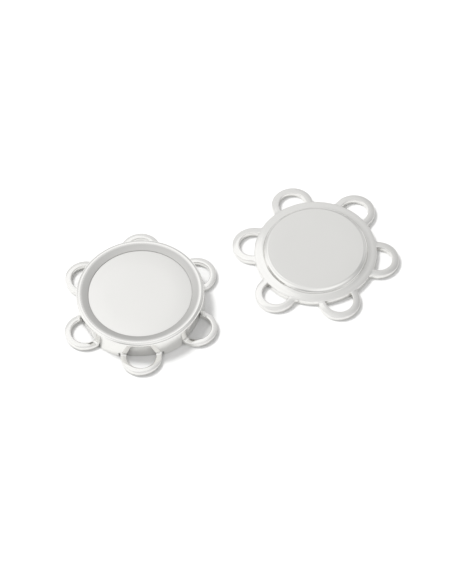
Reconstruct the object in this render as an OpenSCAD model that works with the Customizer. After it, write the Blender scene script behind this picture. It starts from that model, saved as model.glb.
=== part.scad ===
// Sew-on magnetic snap: two round metal halves that close face to face.
// The socket half is a drawn shell with a rolled rim round a sunken face plate.
// The stud half is a flat flange with a raised round disc that lands in that rim.
// Each half carries six half-ring loops that take the sewing thread.
// Both halves lie face up, side by side, with their sewing faces on the plane z = 0.

/* [Socket half] */
// Outer diameter of the socket's side wall
socket_d = 18; // [16:0.5:22]
// Height of the socket from its sewing face to the crest of the rim
socket_h = 3.5; // [3.2:0.1:5]
// Thickness of the drawn side wall
wall_t = 0.4; // [0.3:0.05:0.45]
// Radius of the rolled rim, and thickness of the lip inside it
rim_r = 0.4; // [0.4:0.05:0.5]
// Diameter of the round face plate inside the rim
face_d = 14.45; // [13:0.05:14.7]
// How far the face plate lies below the crest of the rim
recess = 0.4; // [0.3:0.05:0.5]
// Slope of the lip, from the rim down to the face plate, in degrees
lip_slope = 15; // [12:1:20]

/* [Stud half] */
// Diameter of the flat flange between its loops
flange_d = 17.4; // [16.4:0.1:20]
// Diameter of the raised disc at its foot
disc_d = 14.9; // [13:0.1:15]
// Thickness of the stud's flange and loops
stud_t = 0.95; // [0.8:0.05:1.1]
// Height of the raised disc above the flange
disc_rise = 0.75; // [0.7:0.05:1.2]
// Radius of the raised disc's rounded edge
disc_edge = 0.7; // [0.3:0.05:0.7]

/* [Sewing loops] */
// Number of loops round each half
loop_count = 6; // [4:1:6]
// Thickness of the socket's loops
loop_t = 0.8; // [0.7:0.05:1]
// Outer width of a socket loop
socket_loop_w = 5.8; // [5:0.1:6.2]
// Width of the metal round a socket loop's hole
socket_band_w = 0.85; // [0.7:0.05:1]
// Outer width of a stud loop
stud_loop_w = 5.9; // [5:0.1:6.2]
// Width of the metal round a stud loop's hole
stud_band_w = 1; // [0.8:0.05:1.2]
// Height of the metal left between a window and the crest of the rim
over_window = 0.55; // [0.55:0.05:1]
// Width of a window at its top edge
window_top_w = 2.7; // [2:0.1:3.2]

/* [Lay of the two halves] */
// Distance of the stud half to the right of the socket half
stud_x = 24.9; // [24.9:0.1:60]
// Distance of the stud half behind the socket half
stud_y = 7.75; // [-20:0.25:20]
// Turn of the stud half about its own axis, in degrees
stud_turn = -10.3; // [-30:0.1:30]

/* [Hidden] */
$fn = 96;

gap = 0.05;
seam = 0.075;
edge_r = 0.12;
socket_r = socket_d / 2;
inner_r = socket_r - wall_t;

// The rim is rolled round a circle; the lip leaves it as a slanting tangent.
rim_cx = socket_r - rim_r;
rim_cz = socket_h - rim_r;
lip_r = face_d / 2 + seam;
lip_top = [rim_cx - rim_r * sin(lip_slope), rim_cz + rim_r * cos(lip_slope)];
lip_end_z = lip_top[1] - (lip_top[0] - lip_r) * tan(lip_slope);
lip_foot_z = rim_cz - (rim_cx - lip_r) * tan(lip_slope);

face_r = face_d / 2;
face_top = socket_h - recess;
face_edge = 0.12;
cup_r = inner_r - gap;
cup_t = 0.4;
cup_h = rim_cz - (rim_cx - cup_r + cup_t) * tan(lip_slope) - gap;
magnet_r = cup_r - cup_t - gap;
magnet_z = cup_t + gap;
magnet_top = lip_foot_z - gap;
face_z = magnet_top + gap;

cove_r = 0.3;
socket_arm = 0.6;
notch_w = 0.25;
notch_h = 0.8;
window_top = socket_h - over_window;
window_knee = loop_t + 0.1;
reach = 20;

flange_r = flange_d / 2;
stud_loop_r = flange_r + 0.3;
stud_arm = 1.2;
disc_r = disc_d / 2;
disc_wall = 0.8;
stud_h = stud_t + disc_rise;
hollow_r = disc_r - 0.85;
hollow_h = stud_h - disc_wall;
core_r = hollow_r - gap;
core_h = hollow_h - gap;

function loop_angle(i) = i * 360 / loop_count - 90;

// A bar's cross-section with four rounded corners, standing on y = 0.
module round_bar(w, t) {
    translate([edge_r - w / 2, 0]) square([w - 2 * edge_r, t]);
    translate([-w / 2, edge_r]) square([w, t - 2 * edge_r]);
    for (sx = [-1, 1], cy = [edge_r, t - edge_r])
        translate([sx * (w / 2 - edge_r), cy]) circle(r = edge_r);
}

// One loop that points along +X: half a ring round a point centre_r from the axis,
// and two straight arms that run back into the body.
module sewing_loop(centre_r, loop_w, band_w, thick, arm_len) {
    mid_r = (loop_w - band_w) / 2;
    translate([centre_r, 0, 0]) {
        rotate([0, 0, -90])
            rotate_extrude(angle = 180)
                translate([mid_r, 0]) round_bar(band_w, thick);
        for (s = [-1, 1])
            translate([0, s * mid_r, 0])
                rotate([90, 0, -90])
                    linear_extrude(arm_len) round_bar(band_w, thick);
    }
}

// The half cross-section of the wall, the rolled rim and the lip inside it.
module shell_section() {
    polygon([
        [inner_r, 0],
        [socket_r, 0],
        [socket_r, rim_cz],
        [rim_cx + rim_r / 4, rim_cz + rim_r / 2],
        [inner_r, rim_cz]
    ]);
    intersection() {
        translate([rim_cx, rim_cz]) circle(r = rim_r);
        translate([rim_cx, rim_cz])
            polygon([[0, 0], [2, 0], [2, 2], [-2 * sin(lip_slope), 2 * cos(lip_slope)]]);
    }
    polygon([
        [rim_cx, rim_cz],
        [rim_cx, rim_cz + rim_r / 2],
        lip_top,
        [lip_r, lip_end_z],
        [lip_r, lip_foot_z]
    ]);
}

// The concave bend by which a loop's arms rise into the wall.
module arm_coves() {
    hole_w = socket_loop_w - 2 * socket_band_w;
    intersection() {
        rotate_extrude()
            difference() {
                translate([socket_r - wall_t / 2, loop_t / 2])
                    square([wall_t / 2 + cove_r - gap, loop_t / 2 + cove_r]);
                translate([socket_r + cove_r, loop_t + cove_r]) circle(r = cove_r);
            }
        linear_extrude(socket_h)
            difference() {
                union() {
                    translate([socket_r, 0]) circle(d = socket_loop_w);
                    translate([socket_r - 2, -socket_loop_w / 2]) square([2, socket_loop_w]);
                }
                translate([socket_r, 0]) circle(d = hole_w);
                translate([socket_r - 3, -hole_w / 2]) square([3, hole_w]);
            }
    }
}

// What one loop takes out of the wall: a window that narrows upwards,
// and a small relief notch outside each arm.
module wall_cuts() {
    half_foot = socket_loop_w / 2 - socket_band_w;
    half_top = window_top_w / 2;
    intersection() {
        rotate_extrude()
            translate([inner_r - gap, -1]) square([wall_t + 2 * gap, reach]);
        rotate([90, 0, 90])
            linear_extrude(reach)
                union() {
                    polygon([
                        [-half_foot, -1],
                        [half_foot, -1],
                        [half_foot, window_knee],
                        [half_top, window_top],
                        [-half_top, window_top],
                        [-half_foot, window_knee]
                    ]);
                    for (s = [-1, 1])
                        translate([s * (socket_loop_w + notch_w) / 2, 0]) {
                            translate([0, notch_h - notch_w / 2]) circle(d = notch_w);
                            translate([-notch_w / 2, -1]) square([notch_w, 1 + notch_h - notch_w / 2]);
                        }
                }
    }
}

module socket_shell() {
    color("silver")
        union() {
            difference() {
                rotate_extrude() shell_section();
                for (i = [0 : loop_count - 1])
                    rotate([0, 0, loop_angle(i)]) wall_cuts();
            }
            for (i = [0 : loop_count - 1])
                rotate([0, 0, loop_angle(i)]) {
                    sewing_loop(socket_r, socket_loop_w, socket_band_w, loop_t, socket_arm);
                    arm_coves();
                }
        }
}

module socket_face() {
    color("gainsboro")
        rotate_extrude() {
            translate([0, face_z]) square([face_r, face_top - face_edge - face_z]);
            translate([0, face_z]) square([face_r - face_edge, face_top - face_z]);
            translate([face_r - face_edge, face_top - face_edge]) circle(r = face_edge);
        }
}

module socket_magnet() {
    color("dimgray")
        translate([0, 0, magnet_z]) cylinder(h = magnet_top - magnet_z, r = magnet_r);
}

module socket_cup() {
    color("darkgray")
        difference() {
            cylinder(h = cup_h, r = cup_r);
            translate([0, 0, cup_t]) cylinder(h = cup_h, r = cup_r - cup_t);
        }
}

// The half cross-section of the flange and the hollow raised disc.
module stud_section() {
    difference() {
        union() {
            square([flange_r - 1, stud_t]);
            translate([flange_r - 1, 0]) round_bar(2, stud_t);
            square([disc_r - disc_edge, stud_h]);
            square([disc_r, stud_h - disc_edge]);
            translate([disc_r - disc_edge, stud_h - disc_edge]) circle(r = disc_edge);
        }
        translate([-1, -1]) square([hollow_r + 1, hollow_h + 1]);
    }
}

module stud_place() {
    translate([stud_x, stud_y, 0]) rotate([0, 0, stud_turn]) children();
}

module stud_shell() {
    color("silver")
        stud_place()
            union() {
                rotate_extrude() stud_section();
                for (i = [0 : loop_count - 1])
                    rotate([0, 0, loop_angle(i) + 30])
                        sewing_loop(stud_loop_r, stud_loop_w, stud_band_w, stud_t, stud_arm);
            }
}

module stud_core() {
    color("dimgray")
        stud_place() cylinder(h = core_h, r = core_r);
}

socket_shell();
socket_face();
socket_magnet();
socket_cup();
stud_shell();
stud_core();
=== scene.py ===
"""Sew-on magnetic snap in satin nickel plate: socket half and stud half, face up on a pale table."""
import math

import bmesh
import bpy
import numpy as np
from mathutils import Matrix, Vector


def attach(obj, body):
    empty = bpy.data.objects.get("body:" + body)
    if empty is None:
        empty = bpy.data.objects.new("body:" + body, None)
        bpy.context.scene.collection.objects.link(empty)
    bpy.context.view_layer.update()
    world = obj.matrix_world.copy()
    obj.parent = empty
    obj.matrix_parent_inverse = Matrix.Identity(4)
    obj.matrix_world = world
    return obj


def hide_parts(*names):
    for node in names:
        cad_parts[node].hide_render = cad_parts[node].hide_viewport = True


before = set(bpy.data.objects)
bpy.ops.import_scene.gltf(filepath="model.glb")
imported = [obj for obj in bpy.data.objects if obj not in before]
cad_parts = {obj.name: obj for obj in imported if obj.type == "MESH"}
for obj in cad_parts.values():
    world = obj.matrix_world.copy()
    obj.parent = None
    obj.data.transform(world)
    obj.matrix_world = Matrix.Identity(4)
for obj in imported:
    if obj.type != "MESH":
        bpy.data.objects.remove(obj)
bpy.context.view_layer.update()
MM = 0.001

# The two halves' sizes in millimetres, as the solids have them but for finer edges.
# _R is a radius from the half's own axis, _T a thickness and _EDGE the radius of a rounded edge.
# RIM_ROLL is the radius of the rolled rim, and COVE that of the bend into a socket loop's arms.
LOOPS = 6
LOOP_STEP = 360.0 / LOOPS
WALL_R, WALL_IN_R = 9.0, 8.6
CREST_R, CREST_Z, RIM_ROLL = 8.6, 3.5, 0.4
LIP_R, LIP_T = 7.3, 0.4
WINDOW_TOP, WINDOW_KNEE, NOTCH_TOP = 2.95, 0.9, 0.8
FACE_R, FACE_TOP, FACE_FOOT, FACE_EDGE = 7.29, 3.1, 2.76, 0.05
CUP_R, CUP_IN_R, CUP_H, CUP_FLOOR, CUP_EDGE = 8.55, 8.15, 2.9, 0.4, 0.1
LOOP_CENTRE, LOOP_T, LOOP_EDGE, COVE = 9.0, 0.8, 0.1, 0.3
SOCKET_LOOP_IN, SOCKET_LOOP_OUT = 2.05, 2.9
STUD_LOOP_IN, STUD_LOOP_OUT = 1.95, 2.95
STUD_T, FLANGE_R = 0.95, 8.7
DISC_R, DISC_TOP, DISC_EDGE, DISC_FILLET = 7.45, 1.7, 0.7, 0.1
HOLLOW_R, HOLLOW_H = 6.6, 0.9

# The lip leaves the crest in a flat curve of this radius. The socket's loops rise a little outwards;
# the stud's brim and loops fall away outwards, and are as thick as the solid at one radius. Every
# loop's band falls from its hole to its outer edge.
LIP_BEND = 2.6
LOOP_RISE = math.radians(3.0)
BRIM_FALL = math.radians(3.5)
BRIM_LEVEL_R = 9.3
BAND_FALL = math.radians(4.0)

# Where the stud half lies: along X and Y in millimetres, and its turn.
STUD_AT = (24.9, 7.75)
STUD_TURN = math.radians(-10.3)

# Steps round a turned piece, and the angle in degrees past which an edge between faces stays sharp.
AROUND = 192
SHARP = 40.0


# Shapes

def arc(centre_r, centre_z, radius, start, end, count):
    """Points (r, z) on a circle, from one angle in degrees to another."""
    a = np.radians(np.linspace(start, end, count))
    return np.stack([centre_r + radius * np.cos(a), centre_z + radius * np.sin(a)], axis=1)


def grid_faces(rows, cols, close_rows, close_cols):
    """Quads of a grid of rows x cols points, which may close on itself either way."""
    i = np.arange(rows if close_rows else rows - 1)[:, None]
    j = np.arange(cols if close_cols else cols - 1)[None, :]
    i2, j2 = (i + 1) % rows, (j + 1) % cols
    quads = [i * cols + j, i * cols + j2, i2 * cols + j2, i2 * cols + j]
    return np.stack([np.broadcast_to(q, (i.size, j.size)) for q in quads], axis=-1).reshape(-1, 4)


def turned(*profile):
    """Runs of points (r, z), one after the other, turned about Z: each point goes round a circle of
    its own radius."""
    profile = np.concatenate(profile)
    a = np.linspace(0, 2 * math.pi, AROUND, endpoint=False)
    r, z = profile[:, :1], profile[:, 1:]
    points = np.stack([r * np.cos(a), r * np.sin(a), z + 0 * a], axis=-1)
    return points.reshape(-1, 3), grid_faces(len(profile), AROUND, False, True)


def spun(part, turns):
    """Copies of a part, each turned about Z by one of the angles."""
    points, faces = part
    c, s = np.cos(turns)[:, None], np.sin(turns)[:, None]
    x, y, z = points.T
    copies = np.stack([c * x - s * y, s * x + c * y, z + 0 * c], axis=-1)
    step = np.arange(len(turns))[:, None, None] * len(points)
    return copies.reshape(-1, 3), (faces[None] + step).reshape(-1, 4)


def stud_place(part):
    """Moves a part of the stud half from its own axis to where it lies."""
    points, faces = spun(part, np.array([STUD_TURN]))
    return points + np.array([*STUD_AT, 0.0]), faces


def piece(name, *parts):
    """One mesh from closed surfaces in millimetres, with doubled points merged and faces turned
    outwards."""
    points = np.concatenate([p for p, _ in parts])
    starts = np.cumsum([0] + [len(p) for p, _ in parts[:-1]])
    faces = np.concatenate([f + s for (_, f), s in zip(parts, starts)])
    mesh = bpy.data.meshes.new(name)
    mesh.from_pydata((points * MM).tolist(), [], faces.tolist())
    bm = bmesh.new()
    bm.from_mesh(mesh)
    bmesh.ops.remove_doubles(bm, verts=bm.verts, dist=1e-7)
    bmesh.ops.recalc_face_normals(bm, faces=bm.faces)
    bm.to_mesh(mesh)
    bm.free()
    mesh.polygons.foreach_set("use_smooth", np.ones(len(mesh.polygons), dtype=bool))
    mesh.set_sharp_from_angle(angle=math.radians(SHARP))
    obj = bpy.data.objects.new(name, mesh)
    bpy.context.scene.collection.objects.link(obj)
    return obj


def lip_line(r):
    """The lip's upper side: it drops below the crest by the square of the distance from it over twice
    the curve's radius."""
    r = np.asarray(r, dtype=float)
    return np.stack([r, CREST_Z - (CREST_R - r) ** 2 / (2 * LIP_BEND)], axis=-1)


def wall_and_rim():
    """The drawn wall with its rolled rim and lip, as a closed cross-section carried round the axis.
    Down the wall each column of points stops at a height that depends on the angle: that of a
    window's top and slanted corners, of a relief notch, or of the foot."""
    half = LOOP_STEP / 2
    shoulder = NOTCH_TOP - 0.08
    # angle from a loop's middle in degrees, and the height of the wall's lower edge there
    edge = np.array([
        [0.0, WINDOW_TOP], [8.65, WINDOW_TOP], [13.3, WINDOW_KNEE], [13.4, 0.0],
        [18.95, 0.0], [19.0, shoulder], [19.3, NOTCH_TOP], [20.3, NOTCH_TOP], [20.6, shoulder],
        [20.65, 0.0], [half, 0.0],
    ])
    fine = np.union1d(np.linspace(0, half, 33), edge[:, 0])
    sector = np.concatenate([-fine[:0:-1], fine[:-1]])
    foot = np.tile(np.interp(np.abs(sector), edge[:, 0], edge[:, 1]), LOOPS)
    angle = np.radians(sector[None, :] + LOOP_STEP * np.arange(LOOPS)[:, None] - 90.0).ravel()

    def rows(r, z):
        """Rows of points round the axis: a radius for each row, and heights that may change with the
        angle."""
        return np.stack(np.broadcast_arrays(np.asarray(r)[:, None], z + 0 * angle), axis=-1)

    # From the lip's lower corner over its end and upper side to the crest and down the rolled rim,
    # the cross-section is the same all round. nick is the size of its small rounded edges.
    nick = 0.06
    lip_end = lip_line(LIP_R)[1]
    rim_foot = CREST_Z - RIM_ROLL
    upper = np.concatenate([
        [[LIP_R, lip_end - LIP_T], [LIP_R, lip_end - nick]],
        arc(LIP_R + nick, lip_end - nick * 0.6, nick, 160, 110, 3),
        lip_line(np.linspace(LIP_R + 0.1, CREST_R - 0.02, 14)),
        arc(WALL_R - RIM_ROLL, rim_foot, RIM_ROLL, 90, 0, 16),
    ])
    # Then down the wall's outside, round its lower edge, and up inside it to the lip's underside.
    down = np.linspace(0, 1, 7)[1:-1, None]
    section = np.concatenate([
        rows(upper[:, 0], upper[:, 1:]),
        rows(np.full(len(down), WALL_R), rim_foot + (foot + nick - rim_foot) * down),
        rows([WALL_R, WALL_R - nick, WALL_IN_R + nick, WALL_IN_R],
             foot + nick * np.array([[1], [0], [0], [1]])),
        rows([WALL_IN_R, LIP_R + nick], np.array([[rim_foot], [lip_end - LIP_T]])),
    ])
    r, z = section[..., 0], section[..., 1]
    points = np.stack([r * np.cos(angle), r * np.sin(angle), z], axis=-1)
    return points.reshape(-1, 3), grid_faces(len(section), len(angle), True, True)


def round_section(width, thick, corner, per_corner=5):
    """A rounded rectangle as offsets across the band from -width/2 to width/2, and shares of its
    thickness: four quarter circles, each moved out to its corner."""
    a = np.radians(np.linspace(0, 90, per_corner))
    x = np.concatenate([np.cos(a), -np.sin(a), -np.cos(a), np.sin(a)]) * corner
    y = np.concatenate([np.sin(a), np.cos(a), -np.sin(a), -np.cos(a)]) * corner
    sx = np.repeat([1, -1, -1, 1], per_corner) * (width / 2 - corner)
    sy = np.repeat([1, 1, -1, -1], per_corner) * (thick / 2 - corner)
    return x + sx, (y + sy) / thick + 0.5


def sewing_loop(inner, outer, thick, top, under, lift, flare=None):
    """One loop that points along +X: a rounded band carried out of the body, round half a ring and
    back. top and under are the band's upper and lower lines (r, z) from its root outwards, as far
    from the axis as the bend reaches. A point is found from its distance to the axis and its offset
    from the loop's middle: on a straight arm while that is short of the loop's centre, and then on
    the half ring. lift says how much is added to its height, and flare to the band's outer edge."""
    across, share = round_section(outer - inner, thick, LOOP_EDGE)
    band = (inner + outer) / 2 + across
    r = under[:, :1] + (top[:, :1] - under[:, :1]) * share
    z = under[:, 1:] + (top[:, 1:] - under[:, 1:]) * share
    z = z - (band - inner) * share * math.tan(BAND_FALL)
    rho = np.broadcast_to(band, r.shape)
    if flare is not None:
        rho = rho + flare(r) * np.clip(across / across.max(), 0, 1)
    x_arm = np.sqrt(r**2 - rho**2)
    x_ring = (r**2 - rho**2 + LOOP_CENTRE**2) / (2 * LOOP_CENTRE)
    x = np.where(x_arm < LOOP_CENTRE, x_arm, x_ring)
    y = np.sqrt(r**2 - x**2)
    first = np.arctan2(x[-1] - LOOP_CENTRE, y[-1])
    phi = first + (math.pi - 2 * first) * np.linspace(0, 1, 33)[1:-1, None]
    ring_x = LOOP_CENTRE + band * np.sin(phi)
    ring = np.stack([ring_x, band * np.cos(phi), np.broadcast_to(z[-1], ring_x.shape)], axis=-1)
    left = np.stack([x, y, z], axis=-1)
    right = left[::-1] * np.array([1, -1, 1])
    points = np.concatenate([left, ring, right])
    points[..., 2] += lift(np.hypot(points[..., 0], points[..., 1]), points[..., 2])
    rows, cols = points.shape[:2]
    ends = [np.broadcast_to(points[k].mean(axis=0), (1, cols, 3)) for k in (0, -1)]
    points = np.concatenate([ends[0], points, ends[1]])
    return points.reshape(-1, 3), grid_faces(rows + 2, cols, False, True)


def socket_loop():
    """A socket loop: its arms leave the wall in a hollow bend, level out and carry the half ring.
    The upper line is a quarter circle. The lower one falls by the square of 1 less a sine."""
    bend_r, bend_z = WALL_R + COVE, LOOP_T + COVE
    # The roots of both lines lie inside the wall, a little above the bend.
    top_root, under_root, root_z = WALL_R - 0.15, WALL_IN_R + 0.1, bend_z + 0.2
    steps = 12
    fall = (1 - np.sin(np.linspace(0, math.pi / 2, steps))) ** 2
    top = np.concatenate([[[top_root, root_z]], arc(bend_r, bend_z, COVE, 180, 270, steps)])
    under = np.concatenate([
        [[under_root, root_z]],
        np.stack([np.linspace(under_root, bend_r, steps), bend_z * fall], axis=1),
    ])

    def lift(at, z):
        """Past the bend the whole loop rises with its distance from the axis."""
        return np.clip(at - bend_r, 0, None) * math.tan(LOOP_RISE) + 0 * z

    return sewing_loop(SOCKET_LOOP_IN, SOCKET_LOOP_OUT, LOOP_T, top, under, lift)


def brim_top(r):
    """Height of the stud's brim and loops at a distance from its axis: as thick as the solid at one
    radius, and falling outwards."""
    return STUD_T + (BRIM_LEVEL_R - r) * math.tan(BRIM_FALL)


def stud_loop():
    """A stud loop: flat arms that leave the flange with a small fillet outside, and the half ring."""
    fillet = 0.3
    root_r, past_fillet, ring_r = 8.45, 9.1, 9.6
    r = np.concatenate([np.linspace(root_r, past_fillet, 10), np.linspace(past_fillet, ring_r, 3)[1:]])
    top = np.stack([r, np.full(r.shape, STUD_T)], axis=1)
    under = np.stack([r, np.zeros(r.shape)], axis=1)

    def flare(at):
        """The fillet: a quarter circle that ends its own radius away from the flange."""
        away = np.clip(at - FLANGE_R, 0, fillet)
        return fillet - np.sqrt(fillet**2 - (fillet - away) ** 2)

    def lift(at, z):
        """The top follows the brim, the underside stays on the table, and the rest lies between."""
        return (brim_top(at) - STUD_T) * z / STUD_T

    return sewing_loop(STUD_LOOP_IN, STUD_LOOP_OUT, STUD_T, top, under, lift, flare)


# Finishes

def mapped(tree, value, start, end, at_start, at_end, smooth=False):
    """A value that runs from start to end, mapped to a run from at_start to at_end. smooth eases
    both ends."""
    node = tree.nodes.new("ShaderNodeMapRange")
    if smooth:
        node.interpolation_type = "SMOOTHSTEP"
    node.inputs["From Min"].default_value = start
    node.inputs["From Max"].default_value = end
    node.inputs["To Min"].default_value = at_start
    node.inputs["To Max"].default_value = at_end
    tree.links.new(value, node.inputs["Value"])
    return node.outputs["Result"]


def noise_of(tree, scale, detail, roughness):
    """A cloud pattern fixed to the piece, with so many waves per metre."""
    place = tree.nodes.new("ShaderNodeTexCoord")
    node = tree.nodes.new("ShaderNodeTexNoise")
    node.inputs["Scale"].default_value = scale
    node.inputs["Detail"].default_value = detail
    node.inputs["Roughness"].default_value = roughness
    tree.links.new(place.outputs["Object"], node.inputs["Vector"])
    return node.outputs["Fac"]


def finish_of(name, colour, roughness, grain, grain_depth):
    """Plated metal. Clouds a few millimetres wide, as from handling, move its gloss by a twentieth
    either way and its tint by less. A fine grain roughens it: so many waves per metre, and so many
    millimetres deep."""
    mat = bpy.data.materials.new(name)
    mat.use_nodes = True
    tree = mat.node_tree
    shader = tree.nodes["Principled BSDF"]
    shader.inputs["Metallic"].default_value = 1.0

    # The clouds' values lie mostly between thin and thick.
    thin, thick = 0.3, 0.7
    clouds = noise_of(tree, scale=260.0, detail=3.0, roughness=0.5)
    gloss = mapped(tree, clouds, thin, thick, roughness * 0.95, roughness * 1.05)
    tree.links.new(gloss, shader.inputs["Roughness"])
    tint = tree.nodes.new("ShaderNodeMix")
    tint.data_type = "RGBA"
    tint.inputs["A"].default_value = (*[c * 0.975 for c in colour], 1.0)
    tint.inputs["B"].default_value = (*colour, 1.0)
    tree.links.new(clouds, tint.inputs["Factor"])
    tree.links.new(tint.outputs["Result"], shader.inputs["Base Color"])

    specks = noise_of(tree, scale=grain, detail=4.0, roughness=0.6)
    bump = tree.nodes.new("ShaderNodeBump")
    bump.inputs["Strength"].default_value = 0.12
    bump.inputs["Distance"].default_value = grain_depth * MM
    tree.links.new(specks, bump.inputs["Height"])
    tree.links.new(bump.outputs["Normal"], shader.inputs["Normal"])
    return mat


def shaded_and_dulled(mat, full_r, clear_r, shade, blur):
    """Paints shade into a finish near the Z axis by darkening its colour, and roughens it there: in full
    up to one radius in millimetres, and no more from the other. shade and blur multiply the colour and
    the roughness there."""
    tree = mat.node_tree
    shader = tree.nodes["Principled BSDF"]
    place = tree.nodes.new("ShaderNodeTexCoord")
    flat = tree.nodes.new("ShaderNodeVectorMath")
    flat.operation = "MULTIPLY"
    flat.inputs[1].default_value = (1.0, 1.0, 0.0)
    tree.links.new(place.outputs["Object"], flat.inputs[0])
    radius = tree.nodes.new("ShaderNodeVectorMath")
    radius.operation = "LENGTH"
    tree.links.new(flat.outputs["Vector"], radius.inputs[0])
    # The colour's factor paints shade; the roughness factor is the finish.
    for socket, factor in (("Base Color", shade), ("Roughness", blur)):
        share = mapped(tree, radius.outputs["Value"], full_r * MM, clear_r * MM, factor, 1.0,
                       smooth=True)
        scaled = tree.nodes.new("ShaderNodeVectorMath")
        scaled.operation = "SCALE"
        tree.links.new(shader.inputs[socket].links[0].from_socket, scaled.inputs[0])
        tree.links.new(share, scaled.inputs["Scale"])
        tree.links.new(scaled.outputs["Vector"], shader.inputs[socket])
    return mat


NICKEL = (0.83, 0.825, 0.805)
NICKEL_ROUGHNESS = 0.13
# Grains, in waves per metre, and their depths in millimetres: plated, drawn and plated, and bare.
SATIN, DRAWN, BARE = (9000.0, 0.001), (9000.0, 0.004), (6000.0, 0.006)
stud_satin = finish_of("stud_satin_nickel", NICKEL, NICKEL_ROUGHNESS, *SATIN)
# The socket's lip, inside the crest, is rougher than the rest of its shell and has painted shade: its
# colour is darkened there.
socket_satin = shaded_and_dulled(finish_of("socket_satin_nickel", NICKEL, NICKEL_ROUGHNESS, *SATIN),
                      full_r=8.05, clear_r=8.5, shade=0.78, blur=4.0)
face_satin = finish_of("socket_face_satin_nickel", (0.86, 0.855, 0.835), 0.3, *SATIN)
cup_satin = finish_of("inner_cup_nickel", (0.74, 0.735, 0.72), 0.32, *DRAWN)
magnet_grey = finish_of("magnet_plate", (0.42, 0.42, 0.43), 0.4, *BARE)
core_iron = finish_of("iron_core", (0.55, 0.55, 0.54), 0.42, *BARE)


# The pieces

def dress(obj, material, node):
    """Gives a piece its finish, hangs it under the root body and hides the solid it stands for."""
    obj.data.materials.append(material)
    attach(obj, "root")
    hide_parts(node)


# The socket's first loop points along -Y and the stud's along its own +X.
loop_turns = np.radians(LOOP_STEP * np.arange(LOOPS))

socket_shell = piece("socket_drawn_shell", wall_and_rim(), spun(socket_loop(), loop_turns - math.pi / 2))
dress(socket_shell, socket_satin, "socket_shell")

socket_face = piece("socket_face_plate", turned(
    [[0.0, FACE_FOOT], [FACE_R, FACE_FOOT]],
    arc(FACE_R - FACE_EDGE, FACE_TOP - FACE_EDGE, FACE_EDGE, 0, 90, 9),
    [[FACE_R * 0.6, FACE_TOP], [0.0, FACE_TOP]],
))
dress(socket_face, face_satin, "socket_face")

socket_cup = piece("socket_inner_cup", turned(
    [[0.0, 0.0], [CUP_R - CUP_EDGE, 0.0]],
    arc(CUP_R - CUP_EDGE, CUP_EDGE, CUP_EDGE, -90, 0, 5),
    arc(CUP_R - CUP_EDGE, CUP_H - CUP_EDGE, CUP_EDGE, 0, 90, 5),
    [[CUP_IN_R, CUP_H], [CUP_IN_R, CUP_FLOOR], [0.0, CUP_FLOOR]],
))
dress(socket_cup, cup_satin, "socket_cup")

# From the hollow under the disc out to the flange's edge, and back over the brim, the fillet at the
# disc's foot and its rounded edge to the axis.
flange_mid_r, brim_mid_r, disc_mid_r = FLANGE_R - LOOP_EDGE, 8.1, 4.0
stud_body = turned(
    [[0.0, HOLLOW_H], [HOLLOW_R, HOLLOW_H], [HOLLOW_R, 0.0], [flange_mid_r, 0.0]],
    arc(flange_mid_r, LOOP_EDGE, LOOP_EDGE, -90, 0, 7)[1:],
    arc(flange_mid_r, brim_top(FLANGE_R) - LOOP_EDGE, LOOP_EDGE, 0, 90 - math.degrees(BRIM_FALL), 7),
    [[brim_mid_r, brim_top(brim_mid_r)]],
    arc(DISC_R + DISC_FILLET, brim_top(DISC_R) + DISC_FILLET, DISC_FILLET, 265, 195, 5),
    arc(DISC_R - DISC_EDGE, DISC_TOP - DISC_EDGE, DISC_EDGE, 14, 90, 18),
    [[disc_mid_r, DISC_TOP], [0.0, DISC_TOP]],
)
stud_loops = spun(stud_loop(), loop_turns)
stud_shell = piece("stud_stamped_shell", stud_place(stud_body), stud_place(stud_loops))
dress(stud_shell, stud_satin, "stud_shell")

for node, material in (("socket_magnet", magnet_grey), ("stud_core", core_iron)):
    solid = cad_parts[node]
    solid.data.materials.clear()
    solid.data.materials.append(material)


# Table, light and camera, in metres

# The table lies a hair under the snap, so that no face of the snap shares its plane.
TABLE_HALF, TABLE_Z = 1.5, -2e-5
table_mesh = bpy.data.meshes.new("pale_table")
corners = [(TABLE_HALF * x, TABLE_HALF * y, 0) for x, y in ((-1, -1), (1, -1), (1, 1), (-1, 1))]
table_mesh.from_pydata(corners, [], [(0, 1, 2, 3)])
table = bpy.data.objects.new("pale_table", table_mesh)
table.location = (0, 0, TABLE_Z)
bpy.context.scene.collection.objects.link(table)
table_white = bpy.data.materials.new("table_white")
table_white.use_nodes = True
table_shader = table_white.node_tree.nodes["Principled BSDF"]
table_shader.inputs["Base Color"].default_value = (0.93, 0.93, 0.925, 1)
table_shader.inputs["Roughness"].default_value = 0.9
table_mesh.materials.append(table_white)

# A light tent: even grey all round, with soft panels. Each panel is
# (azimuth from +Y towards +X, elevation, inner and outer angle in degrees, strength).
TENT_GREY = 0.57
PANELS = (
    (-95.0, 18.0, 12.0, 56.0, 0.65),
    (180.0, 70.0, 15.0, 50.0, 0.4),
    (-25.0, 46.0, 8.0, 40.0, 0.34),
    (45.0, 30.0, 6.0, 26.0, 0.2),
    (140.0, 38.0, 10.0, 50.0, 0.2),
)
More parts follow.
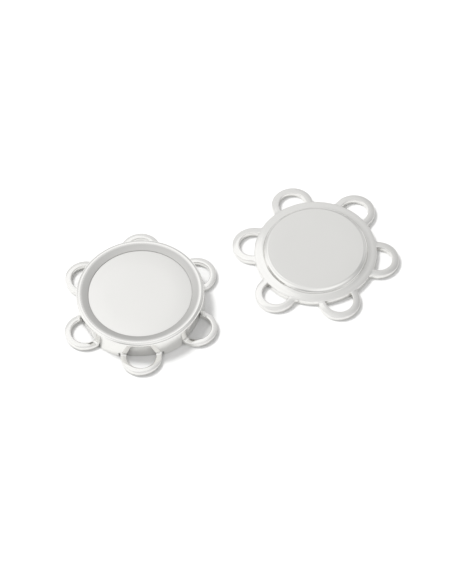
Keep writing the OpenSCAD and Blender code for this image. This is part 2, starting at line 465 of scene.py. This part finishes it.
# The share of the tent's light that dull surfaces take in. It sets how deep the table's shadows are
# and leaves what the metal mirrors as it is.
DULL_SHARE = 0.8
world = bpy.data.worlds.new("light_tent")
bpy.context.scene.world = world
world.use_nodes = True
tent = world.node_tree
way = tent.nodes.new("ShaderNodeTexCoord")
total = None
for azimuth, elevation, inner, outer, strength in PANELS:
    a, e = math.radians(azimuth), math.radians(elevation)
    towards = tent.nodes.new("ShaderNodeVectorMath")
    towards.operation = "DOT_PRODUCT"
    tent.links.new(way.outputs["Generated"], towards.inputs[0])
    towards.inputs[1].default_value = (math.sin(a) * math.cos(e), math.cos(a) * math.cos(e), math.sin(e))
    panel = mapped(tent, towards.outputs["Value"], math.cos(math.radians(outer)),
                   math.cos(math.radians(inner)), 0.0, strength, smooth=True)
    add = tent.nodes.new("ShaderNodeMath")
    add.operation = "ADD"
    tent.links.new(panel, add.inputs[0])
    if total is None:
        add.inputs[1].default_value = TENT_GREY
    else:
        tent.links.new(total, add.inputs[1])
    total = add.outputs["Value"]
ray = tent.nodes.new("ShaderNodeLightPath")
share = mapped(tent, ray.outputs["Is Diffuse Ray"], 0.0, 1.0, 1.0, DULL_SHARE)
given = tent.nodes.new("ShaderNodeMath")
given.operation = "MULTIPLY"
tent.links.new(total, given.inputs[0])
tent.links.new(share, given.inputs[1])
# Seen past the table's edge, the tent is plain white.
seen = tent.nodes.new("ShaderNodeMix")
seen.data_type = "FLOAT"
tent.links.new(ray.outputs["Is Camera Ray"], seen.inputs["Factor"])
tent.links.new(given.outputs["Value"], seen.inputs["A"])
seen.inputs["B"].default_value = 1.0
background = tent.nodes["Background"]
background.inputs["Color"].default_value = (1.0, 1.0, 1.0, 1.0)
tent.links.new(seen.outputs["Result"], background.inputs["Strength"])


# The point between the two halves that the panels face.
LIT = Vector((0.012, 0.003, 0))


def soft_panel(name, at, size, brightness, mirrored=True):
    """A rectangular light that faces the snap. brightness is how bright its own face looks.
    Unless it is mirrored, it lights the table and throws the shadow, and isn't seen in the metal."""
    lamp = bpy.data.lights.new(name, "AREA")
    lamp.shape = "RECTANGLE"
    lamp.size, lamp.size_y = size
    lamp.energy = brightness * math.pi * size[0] * size[1]
    panel = bpy.data.objects.new(name, lamp)
    panel.location = at
    panel.rotation_euler = (LIT - panel.location).to_track_quat("-Z", "Y").to_euler()
    bpy.context.scene.collection.objects.link(panel)
    panel.visible_glossy = mirrored


soft_panel("back_panel", (-0.042, 0.112, 0.205), (0.098, 0.08), 0.28)
soft_panel("table_panel", (-0.215, 0.151, 0.54), (0.15, 0.15), 29.0, mirrored=False)

# The camera looks down at 55.5 degrees from far off, turned a little about its own line of sight.
EYE = Vector((16.22, -248.31, 364.10)) * MM
AIM = Vector((12.007, 1.864, 0.0)) * MM
ROLL = math.radians(-2.63)
back = (EYE - AIM).normalized()
level = Vector((-back.y, back.x, 0.0)).normalized()
rise = back.cross(level)
right = level * math.cos(ROLL) + rise * math.sin(ROLL)
up = rise * math.cos(ROLL) - level * math.sin(ROLL)
camera = bpy.data.cameras.new("camera")
camera.sensor_fit = "AUTO"
camera.sensor_width = 36.0
camera.lens = 192.7
camera.clip_start, camera.clip_end = 0.01, 10.0
camera_obj = bpy.data.objects.new("camera", camera)
camera_obj.matrix_world = Matrix.Translation(EYE) @ Matrix((right, up, back)).transposed().to_4x4()
bpy.context.scene.collection.objects.link(camera_obj)
bpy.context.scene.camera = camera_obj
bpy.context.scene.view_settings.view_transform = "Standard"
